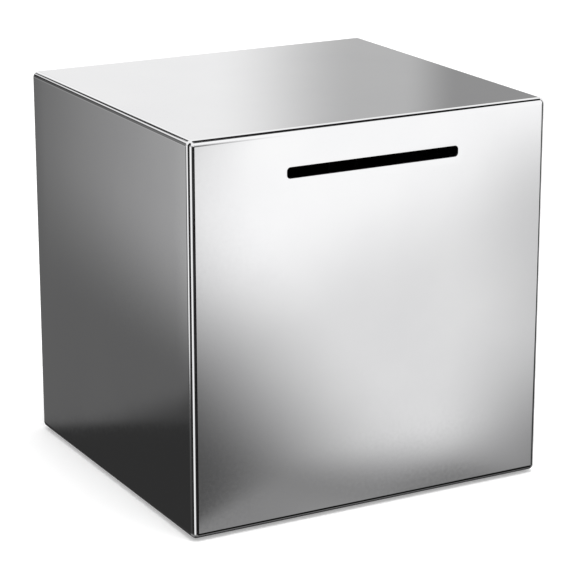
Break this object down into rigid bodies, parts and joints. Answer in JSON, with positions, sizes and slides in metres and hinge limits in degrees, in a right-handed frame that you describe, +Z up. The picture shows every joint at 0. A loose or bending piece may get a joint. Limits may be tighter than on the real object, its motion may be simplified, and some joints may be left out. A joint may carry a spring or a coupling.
{
  "type": "money box",
  "caption": "Cube-shaped polished steel money box with a coin slot in the front and a hinged door with a cam lock in the back.",
  "frame": {"origin": "middle of the base, on the surface that the feet stand on", "axes": "+Z up, -Y out of the front face with the coin slot, +X to the right seen from the front"},
  "size_m": [0.15, 0.14, 0.15],
  "materials": {
    "polished_steel": "polished stainless sheet with a soft mirror",
    "satin_steel": "satin stainless with fine grain",
    "plated_zinc": "bright plated die casting",
    "zinc_plate": "clear zinc plating",
    "spring_steel": "drawn wire",
    "wafer_brass": "stamped brass",
    "bumper_silicone": "matt silicone",
    "foot_rubber": "matt rubber with a fine mould texture"
  },
  "bodies": {
    "box": {"body_wrap": "polished_steel", "front_panel": "polished_steel", "rear_frame": "polished_steel", "hinge_leaf_frame": "satin_steel", "hinge_pin": "satin_steel", "hinge_rivets_frame": "satin_steel", "door_bumpers": "bumper_silicone", "foot_front_left": "foot_rubber", "foot_front_right": "foot_rubber", "foot_rear_left": "foot_rubber", "foot_rear_right": "foot_rubber"},
    "door": {"door_panel": "polished_steel", "hinge_leaf_door": "satin_steel", "hinge_rivets_door": "satin_steel", "lock_housing": "plated_zinc", "lock_washer": "zinc_plate", "lock_nut": "zinc_plate"},
    "lock_core": {"lock_plug": "plated_zinc", "lock_wafers": "wafer_brass", "wafer_springs": "spring_steel", "cam_stop": "zinc_plate", "lock_cam": "zinc_plate", "cam_washer": "zinc_plate", "cam_screw": "zinc_plate"}
  },
  "joints": [
    {"name": "door_hinge", "type": "hinge", "parent": "box", "child": "door", "pos_m": [-0.0543, 0.0673, 0.0754], "axis": [0, 0, 1], "range_deg": [0, 160]},
    {"name": "lock_turn", "type": "hinge", "parent": "door", "child": "lock_core", "pos_m": [0.04403, 0.067, 0.0754], "axis": [0, -1, 0], "range_deg": [0, 90]}
  ]
}
